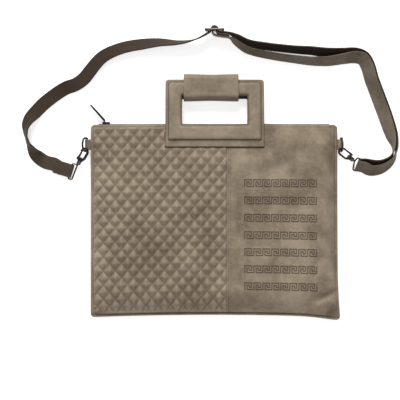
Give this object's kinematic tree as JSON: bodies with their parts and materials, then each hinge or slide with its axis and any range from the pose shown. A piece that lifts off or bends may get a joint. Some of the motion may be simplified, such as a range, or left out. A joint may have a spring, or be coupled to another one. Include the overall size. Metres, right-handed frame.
{
  "type": "tallit bag",
  "caption": "Flat zipped leather bag with a diamond-quilted and a smooth front, paired frame handles in a grip sleeve, and a clip-on shoulder strap.",
  "frame": {"origin": "middle of the back panel, on the surface that the bag lies on", "axes": "+X across the bag to its smooth side, +Y towards the handles, +Z out of the front panel"},
  "size_m": [0.5495, 0.4249, 0.0297],
  "materials": {
    "smooth_leather": "matte grained taupe leather with soft marbling",
    "quilted_leather": "the same leather, padded and stitched in diamonds",
    "handle_leather": "the same leather, smooth over a firm core",
    "strap_leather": "taupe outside, dark brown inside",
    "gunmetal": "dark gunmetal plating, satin",
    "zip_tape": "woven polyester tape",
    "zip_coil": "nylon coil"
  },
  "bodies": {
    "bag": {"back_panel": "smooth_leather", "quilted_panel": "quilted_leather", "smooth_panel": "smooth_leather", "front_handle_base": "handle_leather", "front_handle_pad": "handle_leather", "back_handle_base": "handle_leather", "back_handle_pad": "handle_leather", "grip_sleeve": "handle_leather", "zip_tape_front": "zip_tape", "zip_tape_back": "zip_tape", "zip_chain": "zip_coil", "zip_slider": "gunmetal", "left_tab": "smooth_leather", "right_tab": "smooth_leather", "left_d_ring": "gunmetal", "right_d_ring": "gunmetal", "left_hook": "gunmetal", "left_eye": "gunmetal", "right_hook": "gunmetal", "right_eye": "gunmetal", "strap_slider": "gunmetal", "strap": "strap_leather"},
    "left_gate": {"left_gate": "gunmetal"},
    "right_gate": {"right_gate": "gunmetal"},
    "zip_pull": {"zip_pull": "gunmetal"}
  },
  "joints": [
    {"name": "left_gate_hinge", "type": "hinge", "parent": "bag", "child": "left_gate", "pos_m": [-0.19825, 0.09249, 0.00596], "axis": [0.4999, -0.0207, -0.8658], "range_deg": [0, 23], "stiffness_Nm_per_rad": 0.01},
    {"name": "right_gate_hinge", "type": "hinge", "parent": "bag", "child": "right_gate", "pos_m": [0.20007, 0.09727, 0.00987], "axis": [0.1379, -0.1339, 0.9813], "range_deg": [0, 23], "stiffness_Nm_per_rad": 0.01},
    {"name": "zip_pull_hinge", "type": "hinge", "parent": "bag", "child": "zip_pull", "pos_m": [-0.16, 0.1469, 0.00801], "axis": [0, 0, 1], "range_deg": [-125, 40]}
  ]
}
